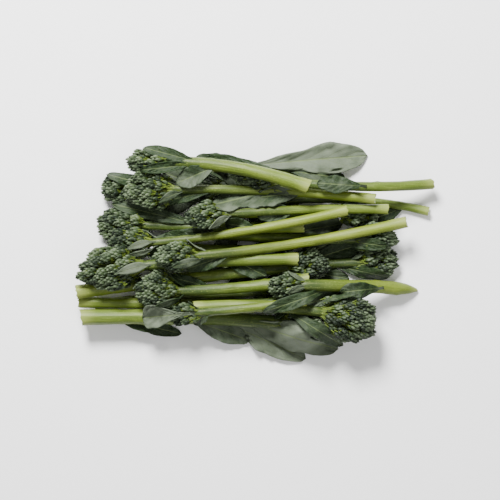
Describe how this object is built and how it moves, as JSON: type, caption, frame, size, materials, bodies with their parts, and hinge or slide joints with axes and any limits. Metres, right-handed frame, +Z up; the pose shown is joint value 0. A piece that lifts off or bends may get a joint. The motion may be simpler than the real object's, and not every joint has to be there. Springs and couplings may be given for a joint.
{
  "type": "broccolini bunch",
  "caption": "Bunch of broccolini spears heaped flat, with pale green stems, limp leaves and dark green floret heads at both ends.",
  "frame": {"origin": "on the supporting surface, below the middle of the heap's outer box", "axes": "+X along the spears, towards the end with most of the bare cut stems; +Y across them, towards the big back leaf; +Z up from the surface"},
  "size_m": [0.2526, 0.1554, 0.0442],
  "materials": {
    "stem": "waxy, slightly glossy plant skin, yellow-green on stems and grey-green on leaves",
    "floret": "matt, dark green buds with a grey bloom"
  },
  "bodies": {
    "root": {"spear_01_low_front_head": "floret", "spear_01_low_front_stem": "stem", "spear_02_low_middle_head": "floret", "spear_02_low_middle_stem": "stem", "spear_03_low_back_head": "floret", "spear_03_low_back_stem": "stem", "spear_04_back_right_head": "floret", "spear_04_back_right_stem": "stem", "spear_05_under_top_head": "floret", "spear_05_under_top_stem": "stem", "spear_06_crossing_head": "floret", "spear_06_crossing_stem": "stem", "spear_07_right_dark_head": "floret", "spear_07_right_dark_stem": "stem", "spear_08_right_low_head": "floret", "spear_08_right_low_stem": "stem", "spear_09_left_cut_head": "floret", "spear_09_left_cut_stem": "stem", "spear_10_centre_head": "floret", "spear_10_centre_stem": "stem", "spear_11_right_high_head": "floret", "spear_11_right_high_stem": "stem", "spear_12_thick_head": "floret", "spear_12_thick_stem": "stem", "spear_13_left_high_head": "floret", "spear_13_left_high_stem": "stem", "spear_14_left_middle_head": "floret", "spear_14_left_middle_stem": "stem", "spear_15_inner_head": "floret", "spear_15_inner_stem": "stem", "spear_16_lower_right_head": "floret", "spear_16_lower_right_stem": "stem", "spear_17_upper_left_head": "floret", "spear_17_upper_left_stem": "stem", "spear_18_top_right_head": "floret", "spear_18_top_right_stem": "stem", "spear_19_middle_head": "floret", "spear_19_middle_stem": "stem", "spear_20_short_shoot_head": "floret", "spear_20_short_shoot_stem": "stem", "spear_21_open_head_head": "floret", "spear_21_open_head_stem": "stem", "spear_22_long_bright_head": "floret", "spear_22_long_bright_stem": "stem", "spear_23_pointed_head": "floret", "spear_23_pointed_stem": "stem", "spear_24_top_left_head": "floret", "spear_24_top_left_stem": "stem"}
  },
  "joints": []
}
